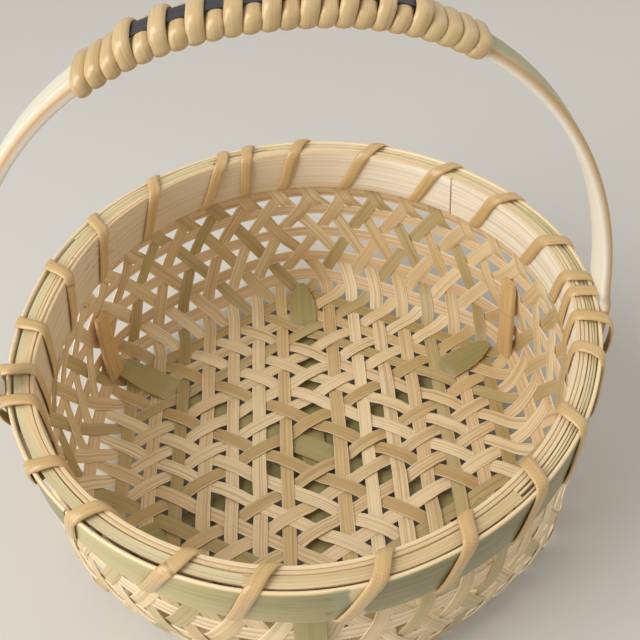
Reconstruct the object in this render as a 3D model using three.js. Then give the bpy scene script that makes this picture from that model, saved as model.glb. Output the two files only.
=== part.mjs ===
// Round bamboo basket on a hexagonal triaxial base, with a lashed rim and a fixed, cane-bound handle.
// Millimetres, +Z up, origin on the ground under the middle of the base.
import * as THREE from 'three';

// Weave
const stripWidth = 6.6;
const stripThickness = 0.7;
const weavePitch = 13.62; // between neighbouring parallel strips
const baseLevels = 7; // strips on each side of the middle, in each of the three directions
const straightRun = 0.6; // of a strip beyond its last crossing in the middle layer
const oliveStrips = [5, 7]; // places from the middle whose strips have an olive tint
const flatShare = 0.42; // most of the way between two crossings that is flat at each of them
const edgeShare = 0.345; // the same on the base side of the turn into the wall
const fit = 0.3; // between pieces that touch

// Wall, one entry for each hoop: growth of the mean radius beyond the base, height above the base,
// and roundness, from 0 for a hexagon to 1 for a circle
const hoopFlare = [13.4, 16.4, 16.4, 14.4, 12.1];
const hoopRise = [6.2, 19, 37, 55, 67.5];
const hoopRound = [0.3, 0.6, 0.85, 1, 1];
const cornerEase = 0.9; // ring steps over which a corner of the hexagon is rounded
const tailRise = 17.5; // from the top hoop to the next crossing, inside the rim

// Rim
const lashRoom = 4.9; // between the top hoop and the rim bands, where the lashing passes
const rimHeight = 22;
const innerBand = 3;
const outerBand = 3;
const tailRoom = 0.9; // between the strip ends and the rim bands
const fillerHeight = 4.4;
const scarfSkew = 3;
const scarfGap = 0.8;
const scarfInner = 0.85; // radians from +X
const scarfOuter = 3.9;
const rimSegments = 48;

// Rim lashing
const lashWidth = 5;
const lashThickness = 1.1;
const lashInHole = 3.4;
const lashStart = 0.5; // ring step of the first hole
const lashRise = 0.45; // share of a span spent on the way up outside
const lashRiseAtTail = 0.72; // the same where the lashing crosses a tail of the handle
const lashOver = 0.1; // share of a span spent on top of the rim
const lashEntry = 0.04; // share of a span spent in the wall, at each end
const lashBend = 0.3; // share of a span at which the way up is checked
const lashLean = -0.65; // slope of the way up for each ring step
const lashSpans = [1, 1, 2, 2, 3, 2, 1, 1, 2, 2, 2, 2, 2, 2, 2, 2, 2, 2, 2, 2, 2, 1, 2]; // from hole to hole

// Stiffeners under the base
const stiffenerWidth = 12;
const stiffenerThickness = 1.2;
const stiffenerNeck = 7; // where it comes up through the weave
const stiffenerTip = 3.4;
const stiffenerLevel = 5; // it comes up between this level of the weave and the next
const stiffenerReach = 1.6; // levels from there to its tip
const stiffenerClimb = 1.85; // half the run in which it comes up through the weave
const stiffenerTilt = 0.5; // slope of its section there
const stiffenerCross = 0.95; // widths from the middle over which the three lie on each other
const stiffenerGround = 2.4; // widths from the middle at which it reaches the ground
const leafStart = 0.25; // levels from the hole to the full width of the leaf
const leafEnd = 0.7; // levels from the hole to the start of its point
const outsideOrder = 1; // the stiffener whose front end goes up outside the wall, as far as the rim lashing
const outsideShift = -0.19; // of that end from its ray, in ring steps
const outsideRun = [
  // weave levels at which it follows the wall, and how far outside the wall's middle layer
  [7.2, 4.1],
  [7.6, 5.6],
  [7.8, 4.6],
  [8, 3.8],
  [8.3, 3.8],
  [8.6, 3.1],
  [9, 2.5],
  [9.5, 2.7],
  [10, 2.5],
  [10.5, 2.4],
  [11, 2.6],
  [11.5, 2.9],
  [12, 2.5],
  [12.19, 2.5],
];

// Side posts: flat sticks that stand inside the wall
const postWidth = 6.8;
const postThickness = 2.8;
const postFoot = 4.5; // heights above the base
const postTop = 51;
const postSteps = [3, 18]; // places in ring steps from +X
const postBends = [0, 0.25, 0.55, 1]; // shares of its height at which it follows the wall

// Handle
const strapWidth = 12.7;
const strapThickness = 4;
const tailWidth = 6.6;
const tailThickness = 3;
const tailDrop = 6; // of the tail below the rim bands
const tailStand = 2; // of the tail's full thickness above the rim
const tailEndShare = 0.6; // width of the tail's end, of its full width
const handleTop = 243.5; // middle of the strap above the base
const archPower = 2.2;
const archSegments = 26;
const archSpring = 12; // how far below the rim's top the arch starts to bend
const shoulderRise = 16; // from the rim's top to the shoulder of the strap
const rightTailStep = -0.5; // places of the two tails, in ring steps from +X
const leftTailStep = 22.5;

// Grip
const caneWidth = 4.5;
const caneThickness = 1.1;
const gripLoops = 24;
const gripPitch = 5.07;
const gripShift = 2.75; // of the grip's middle from the top of the arch, towards the right
const solidLoops = 4; // plain loops at each end, with no dark strip under them
const darkWidth = 6.4;
const darkThickness = 0.8;
const darkSegments = 12;
const edgeCut = 0.6; // how far the cane cuts the edges of the strap's section
const faceTilt = 1.2; // slope of the cane's section at the ends of a face
const edgeTilt = 0.8; // and at the ends of an edge

const colours = {
  straw: '#d9b98a',
  olive: '#a39a5e',
  cream: '#e9d8ae',
  skin: '#a9a878',
  cane: '#d8b672',
  tan: '#c79a5c',
  dark: '#2b2a30',
};

// What follows from the sizes above
const halfStrip = stripWidth / 2;
const layer = stripThickness + fit; // height of an upper or lower strip from the middle layer
const weaveHalf = layer + stripThickness / 2;
const side = Math.PI / 3;
const tan30 = Math.tan(Math.PI / 6);
const sideSteps = baseLevels;
const ringSteps = 6 * sideSteps;
const hexToRound = (6 * tan30) / Math.PI; // radius of the circle with a hexagon's girth, over its apothem
const baseApothem = baseLevels * weavePitch;
const baseRadius = baseApothem * hexToRound;
const topLevel = baseLevels + hoopRise.length;
const topRise = hoopRise.at(-1);
const wallRadius = baseRadius + hoopFlare.at(-1);
const rimBottom = topRise + halfStrip + lashRoom;
const rimTop = rimBottom + rimHeight;
const tailTop = rimTop - fillerHeight - 2 * fit;
const innerBandOuter = wallRadius - weaveHalf - tailRoom;
const innerBandInner = innerBandOuter - innerBand;
const outerBandInner = wallRadius + weaveHalf + tailRoom;
const outerBandOuter = outerBandInner + outerBand;
const raySpacing = (2 * weavePitch) / Math.sqrt(3); // between crossings along a corner ray
const stiffenerClear = weaveHalf + fit + stiffenerThickness / 2;
const groundDepth = stiffenerClear + 2 * (stiffenerThickness + fit);
const up = new THREE.Vector3(0, 0, 1);

function polar(radius, angle, z = 0) {
  return new THREE.Vector3(radius * Math.cos(angle), radius * Math.sin(angle), z);
}

// Smooth curve through a table, which never overshoots its values
function smoothTable(xs, ys) {
  const slope = (i) => (ys[i + 1] - ys[i]) / (xs[i + 1] - xs[i]);
  const last = xs.length - 1;
  const tangent = xs.map((x, i) => {
    if (i === 0) return slope(0);
    if (i === last) return slope(last - 1);
    const product = slope(i - 1) * slope(i);
    return product > 0 ? (2 * product) / (slope(i - 1) + slope(i)) : 0;
  });
  return (x) => {
    const found = xs.findIndex((value) => value > x);
    const i = found === -1 ? last - 1 : Math.max(0, found - 1);
    const width = xs[i + 1] - xs[i];
    const t = (x - xs[i]) / width;
    const rest = 1 - t;
    const start = rest * rest * ((1 + 2 * t) * ys[i] + t * width * tangent[i]);
    const end = t * t * ((1 + 2 * rest) * ys[i + 1] - rest * width * tangent[i + 1]);
    return start + end;
  };
}

const wallLevels = Array.from({ length: hoopRise.length + 2 }, (_, i) => baseLevels + i);
const flareAt = smoothTable(wallLevels, [0, ...hoopFlare, hoopFlare.at(-1)]);
const riseAt = smoothTable(wallLevels, [0, ...hoopRise, topRise + tailRise]);
const roundAt = smoothTable(wallLevels, [0, ...hoopRound, 1]);

// A point of the middle layer by weave level and by ring step, which counts 42 to a turn
function ringPoint(level, step) {
  const onBase = level <= baseLevels;
  const radius = onBase ? level * weavePitch * hexToRound : baseRadius + flareAt(level);
  const roundness = onBase ? 0 : roundAt(level);
  const facing = Math.round(step / sideSteps);
  const across = (2 * (step - facing * sideSteps)) / sideSteps;
  const apothem = radius / hexToRound;
  const point = new THREE.Vector3(apothem, apothem * across * tan30, 0).applyAxisAngle(up, facing * side);
  point.lerp(polar(radius, (facing + across / 2) * side), roundness);
  return point.setZ(onBase ? 0 : riseAt(level));
}

function wallPoint(level, step) {
  const ease = cornerEase * THREE.MathUtils.clamp(level - baseLevels, 0, 1);
  const shifts = [-1, -0.5, 0, 0.5, 1];
  const point = new THREE.Vector3();
  for (const shift of shifts) point.add(ringPoint(level, step + shift * ease));
  return point.divideScalar(shifts.length);
}

// Slopes of the wall at a crossing: outward along a level, and round along a ring step
function wallSlopes(level, step) {
  const outward = wallPoint(level + 0.25, step).sub(wallPoint(level - 0.25, step)).multiplyScalar(2);
  const round = wallPoint(level, step + 0.5).sub(wallPoint(level, step - 0.5));
  return { outward, round, normal: outward.clone().cross(round).normalize() };
}

// Closed solid along a row of four-cornered sections: middle, half width and half thickness. Opposite faces are
// split the same way, so that they keep apart where the ribbon twists
function ribbon(sections, closed = false) {
  const corners = [];
  for (const { middle, wide, thick } of sections) {
    corners.push(middle.clone().add(wide).add(thick));
    corners.push(middle.clone().sub(wide).add(thick));
    corners.push(middle.clone().sub(wide).sub(thick));
    corners.push(middle.clone().add(wide).sub(thick));
  }
  const index = [];
  const count = sections.length;
  const spans = closed ? count : count - 1;
  for (let i = 0; i < spans; i += 1) {
    const here = 4 * i;
    const next = 4 * ((i + 1) % count);
    for (let k = 0; k < 4; k += 1) {
      const turn = (k + 1) % 4;
      if (k < 2) {
        index.push(here + k, next + k, next + turn);
        index.push(here + k, next + turn, here + turn);
      } else {
        index.push(here + k, next + k, here + turn);
        index.push(next + k, next + turn, here + turn);
      }
    }
  }
  if (!closed) {
    const end = 4 * (count - 1);
    index.push(0, 1, 2, 0, 2, 3);
    index.push(end, end + 2, end + 1, end, end + 3, end + 2);
  }
  let volume = 0;
  for (let i = 0; i < index.length; i += 3) {
    const [a, b, c] = [corners[index[i]], corners[index[i + 1]], corners[index[i + 2]]];
    volume += a.dot(b.clone().cross(c));
  }
  if (volume < 0) index.reverse();
  const geometry = new THREE.BufferGeometry();
  geometry.setFromPoints(corners);
  geometry.setIndex(index);
  geometry.computeVertexNormals();
  return geometry;
}

function section(middle, across, through, width, thickness) {
  const wide = across.clone().setLength(width / 2);
  const thick = through.clone().setLength(thickness / 2);
  return { middle, wide, thick };
}

// Least gap between the loops of a winding, measured between sections at the same place of each loop
function leastGap(sections, perLoop) {
  let least = Infinity;
  for (let i = 0; i + perLoop < sections.length; i += 1) {
    const here = sections[i];
    const next = sections[i + perLoop];
    const between = next.middle.clone().sub(here.middle);
    const along = here.wide.clone().normalize();
    least = Math.min(least, Math.abs(between.dot(along)) - here.wide.length() - next.wide.length());
  }
  return least.toFixed(2);
}

const basket = new THREE.Group();

function addPiece(name, geometry, colour, roughness = 0.6) {
  const material = new THREE.MeshStandardMaterial({ color: colour, roughness, metalness: 0 });
  const mesh = new THREE.Mesh(geometry, material);
  mesh.name = name;
  basket.add(mesh);
}

// Weave strips. Strip (facing, index) lies straight in the middle layer along one side of its own level.
// Past the two corners it leans outward, over and under by turns: the strip that leans to the left as seen
// from the middle is on top at even levels, and the one that leans to the right at odd levels.
function crossing(facing, index, hand, level) {
  const lean = (level - 2 * index) / 2;
  const step = sideSteps * (facing + hand) + hand * lean;
  const onTop = hand > 0 === (level % 2 === 0);
  const height = onTop ? layer : -layer;
  if (level <= baseLevels) {
    const along = (hand * (2 * level - index) * weavePitch) / Math.sqrt(3);
    const point = new THREE.Vector3(index * weavePitch, along, 0).applyAxisAngle(up, facing * side);
    return { point, normal: up, height, flat: halfStrip / tan30, onBase: true };
  }
  const { outward, round, normal } = wallSlopes(level, step);
  if (level >= topLevel) normal.setZ(0).normalize();
  const leanAngle = Math.atan2(round.length() / 2, outward.length());
  const meeting = Math.min(2 * leanAngle, Math.PI / 2 - leanAngle, Math.PI / 3);
  return { point: wallPoint(level, step), normal, height, flat: halfStrip / Math.tan(meeting / 2) };
}

function stripGeometry(facing, index) {
  const arm = (hand) => {
    const levels = Array.from({ length: topLevel - index + 1 }, (_, i) => index + i);
    return levels.map((level) => crossing(facing, index, hand, level));
  };
  const right = arm(-1).reverse();
  const left = arm(1);
  const row = [...right, ...left];
  for (let i = 0; i + 1 < row.length; i += 1) {
    const pair = [row[i], row[i + 1]];
    const distance = pair[0].point.distanceTo(pair[1].point);
    const atEdge = pair[0].onBase !== pair[1].onBase;
    for (const node of pair) {
      const share = atEdge && node.onBase ? edgeShare : flatShare;
      node.flat = Math.min(node.flat, share * distance);
    }
  }
  const after = crossing(facing, index, 1, topLevel + 1).point;
  const before = crossing(facing, index, -1, topLevel + 1).point;
  const straight = left[0].point.clone().sub(right.at(-1).point).normalize();
  const sections = [];
  const place = (node, direction, along) => {
    const middle = node.point.clone().addScaledVector(node.normal, node.height);
    middle.addScaledVector(direction, along);
    const across = node.normal.clone().cross(direction);
    sections.push(section(middle, across, node.normal, stripWidth, stripThickness));
  };
  const placeEnd = (node, direction, along) => {
    const end = node.point.clone().addScaledVector(direction, along);
    const angle = Math.atan2(end.y, end.x);
    const middle = polar(wallRadius - node.height, angle, tailTop);
    const across = polar(Math.sign(direction.z), angle + Math.PI / 2);
    const width = stripWidth / Math.abs(direction.z);
    sections.push(section(middle, across, polar(-1, angle), width, stripThickness));
  };
  row.forEach((node, i) => {
    const isFirst = i === 0;
    const isLast = i === row.length - 1;
    const from = isFirst ? before : isLast ? node.point : row[i - 1].point;
    const to = isFirst ? node.point : isLast ? after : row[i + 1].point;
    const bent = to.clone().sub(from).projectOnPlane(node.normal).normalize();
    const direction = node.onBase ? straight : bent;
    const tail = (tailTop - topRise) / Math.abs(direction.z);
    if (isFirst) placeEnd(node, direction, -tail);
    place(node, direction, -node.flat);
    if (!isLast || node.height < 0) place(node, direction, node.flat);
    if (isLast) placeEnd(node, direction, tail);
    if (i === right.length - 1 && index > 1) {
      const span = ((index - 2) * weavePitch) / Math.sqrt(3) + node.flat + straightRun;
      const point = new THREE.Vector3(index * weavePitch, 0, 0).applyAxisAngle(up, facing * side);
      const flatNode = { point, normal: up, height: 0 };
      place(flatNode, straight, -span);
      place(flatNode, straight, span);
    }
  });
  return ribbon(sections);
}

const facings = ['right', 'back_right', 'back_left', 'left', 'front_left', 'front_right'];
facings.forEach((word, facing) => {
  for (let index = 1; index <= baseLevels; index += 1) {
    const colour = oliveStrips.includes(index) ? colours.olive : colours.straw;
    addPiece(`strip_${word}_${index}`, stripGeometry(facing, index), colour);
  }
});

// Wall hoops: each runs in the middle layer, straight through every crossing
function hoopGeometry(level) {
  const start = level % 2 === 0 ? 0 : 0.5;
  const sections = [];
  const isCornered = level === baseLevels + 1;
  for (let i = 0; i < ringSteps; i += 1) {
    if (isCornered) {
      const { round, normal } = wallSlopes(level, start + i);
      const across = normal.clone().cross(round);
      round.setLength(halfStrip / tan30);
      for (const hand of [-1, 1]) {
        const middle = wallPoint(level, start + i).addScaledVector(round, hand);
        sections.push(section(middle, across, normal, stripWidth, stripThickness));
      }
      continue;
    }
    const step = start + i + 0.5;
    const point = wallPoint(level, step);
    const chord = wallPoint(level, step - 0.5).add(wallPoint(level, step + 0.5)).multiplyScalar(0.5);
    const { round, normal } = wallSlopes(level, step);
    const middle = point.clone().multiplyScalar(2).sub(chord);
    sections.push(section(middle, normal.clone().cross(round), normal, stripWidth, stripThickness));
  }
  return ribbon(sections, true);
}

hoopRise.forEach((rise, i) => {
  addPiece(`wall_hoop_${i + 1}`, hoopGeometry(baseLevels + 1 + i), colours.straw);
});

// Rim bands and fillers: bent strips that meet at a slanted scarf
function bandGeometry(inner, thickness, bottom, height, scarf, skew) {
  const radius = inner + thickness / 2;
  const gap = scarfGap / radius;
  const sweep = 2 * Math.PI - gap;
  const sections = [];
  for (let i = 0; i <= rimSegments; i += 1) {
    const atEnd = i === 0 || i === rimSegments;
    const angle = scarf + gap / 2 + (sweep * i) / rimSegments;
    const tangent = polar(1, angle + Math.PI / 2);
    const wide = new THREE.Vector3(0, 0, height / 2).addScaledVector(tangent, atEnd ? skew : 0);
    const thick = polar(thickness / 2, angle);
    sections.push({ middle: polar(radius, angle, bottom + height / 2), wide, thick });
  }
  return ribbon(sections);
}

const fillerRoom = outerBandInner - innerBandOuter;
const fillerThickness = (fillerRoom - 3 * fit) / 2;
const fillerBottom = rimTop - fillerHeight - fit;
const innerFiller = innerBandOuter + fit;
const outerFiller = innerFiller + fillerThickness + fit;
addPiece(
  'rim_inner_band',
  bandGeometry(innerBandInner, innerBand, rimBottom, rimHeight, scarfInner, scarfSkew),
  colours.cream,
);
addPiece(
  'rim_outer_band',
  bandGeometry(outerBandInner, outerBand, rimBottom, rimHeight, scarfOuter, scarfSkew),
  colours.skin,
);
addPiece(
  'rim_inner_filler',
  bandGeometry(innerFiller, fillerThickness, fillerBottom, fillerHeight, scarfInner + side, 0),
  colours.straw,
);
addPiece(
  'rim_outer_filler',
  bandGeometry(outerFiller, fillerThickness, fillerBottom, fillerHeight, scarfOuter + side, 0),
  colours.olive,
);

// Rim lashing: one length of cane that goes out through a hole above the top hoop, up over the rim and
// down inside to a hole further round
const stepAngle = (2 * Math.PI) / ringSteps;
const lashHalf = lashThickness / 2;
const holeRise = topRise + halfStrip + 2 * fit + lashHalf;
const lashOuter = outerBandOuter + fit + lashHalf;
const lashInner = innerBandInner - fit - lashHalf;
const lashTop = rimTop + fit + lashHalf;
const tailBump = tailThickness + 2 * fit;
const lashMiddle = (share) => holeRise + share * (lashTop - holeRise);
const tailSteps = [rightTailStep, leftTailStep, rightTailStep + ringSteps];

function lashSections() {
  let from = lashStart;
  const sections = [];
  const add = (step, radius, z, slope, through, width) => {
    const angle = step * stepAngle;
    const tangent = polar(1, angle + Math.PI / 2);
    const thick = polar(through.x, angle, through.z);
    const across = tangent.clone().addScaledVector(up, slope);
    sections.push(section(polar(radius, angle, z), across, thick, width, lashThickness));
  };
  const out = new THREE.Vector3(1, 0, 0);
  const below = new THREE.Vector3(0, 0, -1);
  const outBelow = new THREE.Vector3(1, 0, -1);
  const outAbove = new THREE.Vector3(1, 0, 1);
  const inAbove = new THREE.Vector3(-1, 0, 1);
  const inBelow = new THREE.Vector3(-1, 0, -1);
  for (const span of lashSpans) {
    const overTail = tailSteps.some((tail) => tail > from && tail < from + span);
    const bump = overTail ? tailBump : 0;
    const rise = overTail ? lashRiseAtTail : lashRise;
    const lean = lashLean * rise * span;
    add(from, wallRadius, holeRise, 0, below, lashInHole);
    add(from + lashEntry * span, lashOuter, holeRise + fit, 0, outBelow, lashInHole);
    add(from + lashBend * span, lashOuter + bump, lashMiddle(lashBend / rise), lean, out, lashWidth);
    add(from + rise * span, lashOuter + bump, lashTop, 0, outAbove, lashWidth);
    add(from + (rise + lashOver) * span, lashInner, lashTop, 0, inAbove, lashWidth);
    add(from + (1 - lashEntry) * span, lashInner, holeRise + fit, 0, inBelow, lashInHole);
    from += span;
  }
  return sections;
}

const lashing = lashSections();
const lashGap = leastGap(lashing, lashing.length / lashSpans.length);
console.log(`rim lashing, least gap between loops: ${lashGap} mm`);
addPiece('rim_lashing', ribbon(lashing), colours.cane, 0.3);

// Stiffeners: three wide strips crossing under the middle, whose pointed ends come up through the weave
function outsideSection(level, clear, step) {
  const { round, normal } = wallSlopes(level, step);
  const middle = wallPoint(level, step).addScaledVector(normal, -clear);
  return section(middle, round.negate(), normal, stiffenerWidth, stiffenerThickness);
}

function stiffenerGeometry(order, angle) {
  const middleDepth = stiffenerClear + order * (stiffenerThickness + fit);
  const hole = (stiffenerLevel + 0.5) * raySpacing;
  const top = hole + stiffenerClimb;
  const tip = hole + stiffenerReach * raySpacing;
  const profile = [
    [stiffenerCross * stiffenerWidth, -middleDepth, stiffenerWidth, 0],
    [stiffenerGround * stiffenerWidth, -groundDepth, stiffenerWidth, 0],
    [hole - raySpacing, -groundDepth, stiffenerWidth, 0],
    [hole - stiffenerClimb, -stiffenerClear, stiffenerNeck, stiffenerTilt],
    [top, stiffenerClear, stiffenerNeck, stiffenerTilt],
    [top + leafStart * raySpacing, stiffenerClear, stiffenerWidth, 0],
    [top + leafEnd * raySpacing, stiffenerClear, stiffenerWidth, 0],
    [tip, stiffenerClear, stiffenerTip, 0],
  ];
  const rayward = polar(1, angle);
  const across = polar(1, angle + Math.PI / 2);
  const sections = [];
  const add = (hand, [along, z, width, tilt]) => {
    const middle = rayward.clone().multiplyScalar(hand * along).setZ(z);
    const through = up.clone().addScaledVector(rayward, -hand * tilt);
    sections.push(section(middle, across, through, width, stiffenerThickness));
  };
  if (order === outsideOrder) {
    const step = (angle + Math.PI) / stepAngle + outsideShift;
    sections.push(...outsideRun.map(([level, clear]) => outsideSection(level, clear, step)).reverse());
    for (const entry of profile.slice(0, 3).reverse()) add(-1, entry);
  } else {
    for (const entry of [...profile].reverse()) add(-1, entry);
  }
  for (const entry of profile) add(1, entry);
  return ribbon(sections);
}

['first', 'second', 'third'].forEach((word, order) => {
  addPiece(`base_stiffener_${word}`, stiffenerGeometry(order, side / 2 + order * side), colours.olive);
});

// Side posts
function postGeometry(step) {
  const inset = weaveHalf + fit + postThickness / 2;
  const sections = [];
  for (const share of postBends) {
    const rise = postFoot + share * (postTop - postFoot);
    let level = baseLevels;
    while (riseAt(level) < rise) level += 0.01;
    const { round, normal } = wallSlopes(level, step);
    const middle = wallPoint(level, step).addScaledVector(normal, inset);
    sections.push(section(middle, round, normal, postWidth, postThickness));
  }
  return ribbon(sections);
}

addPiece('side_post_right', postGeometry(postSteps[0]), colours.tan);
addPiece('side_post_left', postGeometry(postSteps[1]), colours.tan);

// Handle: a flat strap bent into an arch, with both ends cut to narrow tails outside the rim
const footRadius = outerBandOuter + fit + tailThickness / 2;
const rightFoot = polar(footRadius, rightTailStep * stepAngle);
const leftFoot = polar(footRadius, leftTailStep * stepAngle);
const handleMiddle = rightFoot.clone().add(leftFoot).multiplyScalar(0.5);
const handleAxis = rightFoot.clone().sub(leftFoot).normalize();
const handleAcross = up.clone().cross(handleAxis);
const halfSpan = rightFoot.distanceTo(leftFoot) / 2;
const springRise = rimTop - archSpring;
const archRise = handleTop - springRise;

function archPoint(turn) {
  const reach = Math.sign(Math.cos(turn)) * Math.abs(Math.cos(turn)) ** (2 / archPower);
  const rise = Math.abs(Math.sin(turn)) ** (2 / archPower);
  const point = handleMiddle.clone().addScaledVector(handleAxis, halfSpan * reach);
  return point.setZ(springRise + archRise * rise);
}

function archFrame(turn) {
  const point = archPoint(turn);
  const tangent = archPoint(turn + 0.01).sub(archPoint(turn - 0.01)).normalize();
  return { point, tangent, outward: tangent.clone().cross(handleAcross).negate() };
}

function turnAtRise(rise) {
  const share = (rise - springRise) / archRise;
  return Math.asin(share ** (archPower / 2));
}

function strapGeometry() {
  const sections = [];
  const tailEnd = (step, rise, width) => {
    const angle = step * stepAngle;
    const middle = polar(footRadius, angle, rise);
    return section(middle, polar(1, angle + Math.PI / 2), polar(1, angle), width, tailThickness);
  };
  const shoulder = turnAtRise(rimTop + shoulderRise);
  const endWidth = tailEndShare * tailWidth;
  sections.push(tailEnd(rightTailStep, rimBottom - tailDrop, endWidth));
  sections.push(tailEnd(rightTailStep, rimBottom + rimHeight / 2, tailWidth));
  sections.push(tailEnd(rightTailStep, rimTop + tailStand, tailWidth));
  for (let i = 0; i <= archSegments; i += 1) {
    const { point, outward } = archFrame(shoulder + ((Math.PI - 2 * shoulder) * i) / archSegments);
    sections.push(section(point, handleAcross, outward, strapWidth, strapThickness));
  }
  const flipped = (entry) => ({ ...entry, wide: entry.wide.negate() });
  sections.push(flipped(tailEnd(leftTailStep, rimTop + tailStand, tailWidth)));
  sections.push(flipped(tailEnd(leftTailStep, rimBottom + rimHeight / 2, tailWidth)));
  sections.push(flipped(tailEnd(leftTailStep, rimBottom - tailDrop, endWidth)));
  return ribbon(sections);
}

addPiece('handle_strap', strapGeometry(), colours.cream, 0.5);

// Distance along the strap from its top, turned into a frame on the arch
const archTable = (() => {
  const turns = Array.from({ length: 401 }, (_, i) => Math.PI * (0.15 + (0.7 * i) / 400));
  let run = 0;
  return turns.map((turn, i) => {
    if (i > 0) run += archPoint(turn).distanceTo(archPoint(turns[i - 1]));
    return { turn, run };
  });
})();
const topRun = archTable[200].run;

function frameAlong(distance) {
  const target = topRun + distance;
  const after = archTable.findIndex((entry) => entry.run > target);
  const here = archTable[after - 1];
  const next = archTable[after];
  const share = (target - here.run) / (next.run - here.run);
  return archFrame(here.turn + share * (next.turn - here.turn));
}

// Grip winding: one length of flat cane round the strap, which goes under the dark strip and over it by turns
const gripHalf = (gripLoops * gripPitch) / 2;
const caneHalf = caneThickness / 2;
const strapFace = strapThickness / 2 + fit + caneHalf;
const strapEdge = strapWidth / 2 + fit + caneHalf;
const darkFace = strapThickness / 2 + fit + caneThickness + fit + darkThickness / 2;
const overDark = darkFace + darkThickness / 2 + fit + caneHalf;

function windingSections() {
  const sections = [];
  for (let loop = 0; loop < gripLoops; loop += 1) {
    const solid = loop < solidLoops - 1 || loop >= gripLoops - solidLoops + 1;
    const isOver = !solid && loop % 2 === 1;
    const face = isOver ? overDark : strapFace;
    const round = [
      [0, -strapEdge + edgeCut, -strapFace],
      [0.07, -strapEdge, -strapFace + edgeCut],
      [0.2, -strapEdge, strapFace - edgeCut],
      [0.28, -strapEdge + edgeCut, face],
      [0.5, strapEdge - edgeCut, face],
      [0.57, strapEdge, strapFace - edgeCut],
      [0.7, strapEdge, -strapFace + edgeCut],
      [0.78, strapEdge - edgeCut, -strapFace],
    ];
    for (const [share, across, out] of round) {
      const { point, tangent, outward } = frameAlong((loop + share) * gripPitch - gripHalf - gripShift);
      const middle = point.clone().addScaledVector(handleAcross, across).addScaledVector(outward, out);
      const through = handleAcross.clone().multiplyScalar(Math.sign(across));
      const onFace = Math.abs(across) < strapEdge;
      through.addScaledVector(outward, (onFace ? faceTilt : edgeTilt) * Math.sign(out));
      sections.push(section(middle, tangent, through, caneWidth, caneThickness));
    }
  }
  return sections;
}

const winding = windingSections();
console.log(`grip winding, least gap between loops: ${leastGap(winding, winding.length / gripLoops)} mm`);
addPiece('grip_winding', ribbon(winding), colours.cane, 0.3);

// Dark strip along the top of the grip
function darkGeometry() {
  const reach = gripHalf - (solidLoops - 1) * gripPitch - fit;
  const sections = [];
  for (let i = 0; i <= darkSegments; i += 1) {
    const { point, outward } = frameAlong((2 * reach * i) / darkSegments - reach - gripShift);
    const middle = point.clone().addScaledVector(outward, darkFace);
    sections.push(section(middle, handleAcross, outward, darkWidth, darkThickness));
  }
  return ribbon(sections);
}

addPiece('grip_dark_strip', darkGeometry(), colours.dark, 0.35);

// Origin on the ground, under the middle of the whole
const bounds = new THREE.Box3().setFromObject(basket);
const centre = bounds.getCenter(new THREE.Vector3());
basket.position.set(-centre.x, -centre.y, -bounds.min.z);

export default basket;
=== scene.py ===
import math
import random

import bpy
from mathutils import Matrix, Vector


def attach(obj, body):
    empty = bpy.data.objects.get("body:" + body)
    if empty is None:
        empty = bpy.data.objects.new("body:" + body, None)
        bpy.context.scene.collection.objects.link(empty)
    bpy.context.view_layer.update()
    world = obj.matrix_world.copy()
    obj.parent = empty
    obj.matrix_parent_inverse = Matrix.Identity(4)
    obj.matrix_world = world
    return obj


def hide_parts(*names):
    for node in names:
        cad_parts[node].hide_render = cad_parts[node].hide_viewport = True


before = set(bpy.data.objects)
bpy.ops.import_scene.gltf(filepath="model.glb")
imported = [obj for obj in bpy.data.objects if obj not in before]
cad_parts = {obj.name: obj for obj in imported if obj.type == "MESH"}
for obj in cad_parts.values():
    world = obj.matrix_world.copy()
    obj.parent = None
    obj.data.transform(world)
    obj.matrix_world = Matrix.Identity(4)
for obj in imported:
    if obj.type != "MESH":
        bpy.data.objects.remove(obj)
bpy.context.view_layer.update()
scene = bpy.context.scene
scene.view_settings.view_transform = "Standard"

mm = 0.001
up = Vector((0, 0, 1))
basePlace = Vector((-0.64, 0.57, 5.85))  # middle of the base weave, in the frame of the solids
ringSteps = 42  # crossings in a turn of the wall
baseLevels = 7  # strips on each side of the middle of the base, and crossings along each of its sides

# sizes in millimetres, heights above the base weave; lists have one entry for each level of the wall
weave = {
    "width": 6.7,
    "thickness": 0.5,
    "pitch": 13.62,
    "layer": 0.62,
    "wallLayer": 0.55,
    "slack": 1.0,  # most that a strip stands off the base
    "slackReach": 76,
    "slackRight": (20, 1.3),  # it is larger to the right of here
    "slackLeft": 0.7,
    "flare": [0, 13.4, 16.4, 16.4, 14.4, 12.1, 12.1],
    "rise": [0, 6.2, 19, 37, 55, 67.5, 85],
    "roundness": [0, 0.3, 0.6, 0.85, 1, 1, 1],
    "cornerEase": 0.9,
    "gather": [1, 0.91, 0.925, 0.95, 0.975, 1, 1],
    "gatherPower": 10,
    "topLean": 2.5,  # ring steps that a strip leans on its way to the top hoop
    "wallRadius": 117.23,
    "tailTop": 92.7,
    "topLevel": 12,
    "flatShare": 0.62,
    "wallFlatShare": 0.35,
    "straightRun": 0.6,
    "wander": 0.25,
    "swell": 0.04,
    "girth": (0.94, 1.04),
    "wallWider": 1.05,
    "seed": 11,
}
sideAngle = math.pi / 3
tan30 = math.tan(math.pi / 6)
hexToRound = 6 * tan30 / math.pi
stepAngle = 2 * math.pi / ringSteps
halfStrip = weave["width"] / 2


def clamped(value):
    return min(max(value, 0), 1)


def eased(value):
    share = clamped(value)
    return share * share * (3 - 2 * share)


def onSide(facing, out, along):
    return Matrix.Rotation(facing * sideAngle, 3, "Z") @ Vector((out, along, 0))


def polar(radius, angle, z=0.0):
    return Vector((radius * math.cos(angle), radius * math.sin(angle), z))


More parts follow.
